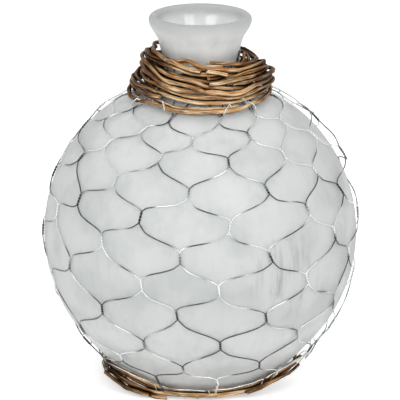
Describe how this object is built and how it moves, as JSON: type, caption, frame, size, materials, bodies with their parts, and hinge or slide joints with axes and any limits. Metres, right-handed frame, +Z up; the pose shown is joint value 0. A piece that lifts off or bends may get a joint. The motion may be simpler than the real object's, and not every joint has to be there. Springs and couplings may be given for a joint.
{
  "type": "glass vase",
  "caption": "Round satin-glass bottle vase in a sleeve of hexagonal wire netting, with willow twigs wound round its neck and foot.",
  "frame": {"origin": "on the table, on the vase's axis, at the middle of its foot", "axes": "+Z up along the vase's axis, -Y towards the viewer of the picture, +X to the right"},
  "size_m": [0.2401, 0.2391, 0.2797],
  "materials": {
    "satin_glass": "frosted satin",
    "galvanised_wire": "galvanised, slightly dull",
    "willow_bark": "unpeeled dry bark"
  },
  "bodies": {
    "root": {"glass_vase": "satin_glass", "net_wire_01": "galvanised_wire", "net_wire_02": "galvanised_wire", "net_wire_03": "galvanised_wire", "net_wire_04": "galvanised_wire", "net_wire_05": "galvanised_wire", "net_wire_06": "galvanised_wire", "net_wire_07": "galvanised_wire", "net_wire_08": "galvanised_wire", "net_wire_09": "galvanised_wire", "net_wire_10": "galvanised_wire", "net_wire_11": "galvanised_wire", "net_wire_12": "galvanised_wire", "net_wire_13": "galvanised_wire", "net_wire_14": "galvanised_wire", "net_wire_15": "galvanised_wire", "net_wire_16": "galvanised_wire", "net_wire_17": "galvanised_wire", "net_wire_18": "galvanised_wire", "net_wire_19": "galvanised_wire", "net_wire_20": "galvanised_wire", "net_wire_21": "galvanised_wire", "net_wire_22": "galvanised_wire", "net_hem_wire": "galvanised_wire", "neck_tie_wire": "galvanised_wire", "neck_willow_1": "willow_bark", "neck_willow_2": "willow_bark", "neck_willow_3": "willow_bark", "neck_willow_4": "willow_bark", "neck_willow_5": "willow_bark", "neck_willow_6": "willow_bark", "neck_willow_7": "willow_bark", "neck_willow_8": "willow_bark", "neck_willow_9": "willow_bark", "neck_willow_10": "willow_bark", "neck_willow_11": "willow_bark", "neck_willow_12": "willow_bark", "base_willow_1": "willow_bark", "base_willow_2": "willow_bark", "base_willow_3": "willow_bark"}
  },
  "joints": []
}
